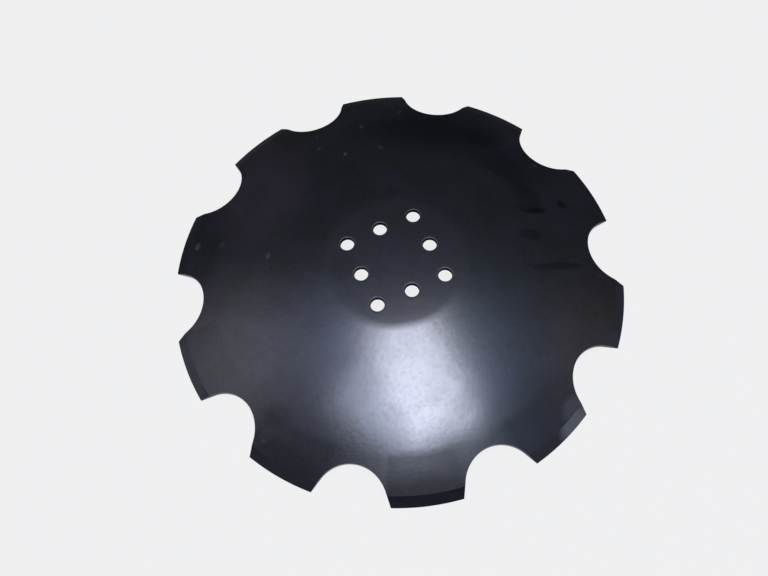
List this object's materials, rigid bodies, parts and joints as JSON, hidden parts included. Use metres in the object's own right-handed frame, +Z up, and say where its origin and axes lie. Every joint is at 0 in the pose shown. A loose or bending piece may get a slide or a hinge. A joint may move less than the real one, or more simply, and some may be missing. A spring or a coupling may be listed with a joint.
{
  "type": "harrow disc blade",
  "caption": "Dished steel harrow disc blade with a notched, bevelled rim and a flat centre drilled for hub bolts.",
  "frame": {"origin": "on the blade's axis, in the plane that the tips of the teeth rest on", "axes": "+Z up along the axis to the convex side, +X through the middle of a tooth and of an inner bolt hole, +Y through the middle of a notch"},
  "size_m": [0.6099, 0.6016, 0.066],
  "materials": {
    "black_paint": "satin black paint over pressed steel plate"
  },
  "bodies": {
    "root": {"disc_blade": "black_paint"}
  },
  "joints": []
}
